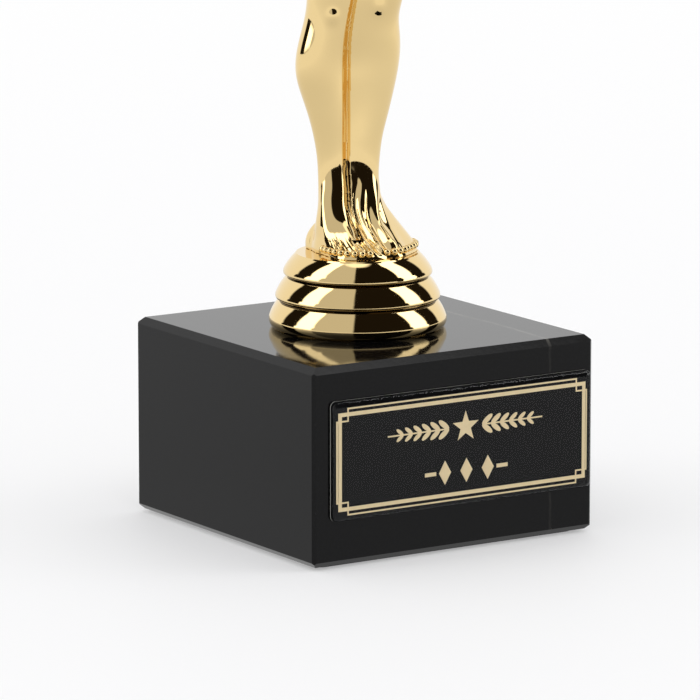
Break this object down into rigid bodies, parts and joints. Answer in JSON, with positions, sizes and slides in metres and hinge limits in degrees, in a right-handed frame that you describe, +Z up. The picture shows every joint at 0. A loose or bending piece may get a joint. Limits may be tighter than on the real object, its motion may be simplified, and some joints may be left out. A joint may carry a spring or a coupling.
{
  "type": "figure trophy",
  "caption": "Gilt figure of a woman in a long gown holding up a laurel wreath, on a tiered round plinth bolted to a polished black stone block with a domed nameplate.",
  "frame": {"origin": "centre of the felt's lower face, where the trophy stands", "axes": "+Z up along the figure, the nameplate and the figure face -Y, +X to the viewer's right when looking at the nameplate"},
  "size_m": [0.06, 0.0614, 0.2451],
  "materials": {
    "gold_plating": "vacuum-metallised mirror gold over moulded plastic",
    "black_stone": "polished black stone with a faint grey vein",
    "clear_resin": "clear domed resin",
    "black_film": "smooth printed film",
    "gold_print": "satin gold foil print",
    "adhesive": "double-sided adhesive tape",
    "black_felt": "short-pile felt",
    "zinc_steel": "bright zinc plating",
    "brass": "turned brass"
  },
  "bodies": {
    "root": {"felt_pad": "black_felt", "base_block": "black_stone", "flat_washer": "zinc_steel", "spring_washer": "zinc_steel", "hex_nut": "zinc_steel", "stud": "zinc_steel", "threaded_insert": "brass", "plinth": "gold_plating", "nameplate_adhesive": "adhesive", "nameplate_film": "black_film", "nameplate_gilding": "gold_print", "nameplate_dome": "clear_resin", "figure_front_shell": "gold_plating", "figure_back_shell": "gold_plating", "figure_head": "gold_plating", "right_arm": "gold_plating", "left_arm": "gold_plating", "laurel_wreath": "gold_plating"}
  },
  "joints": []
}
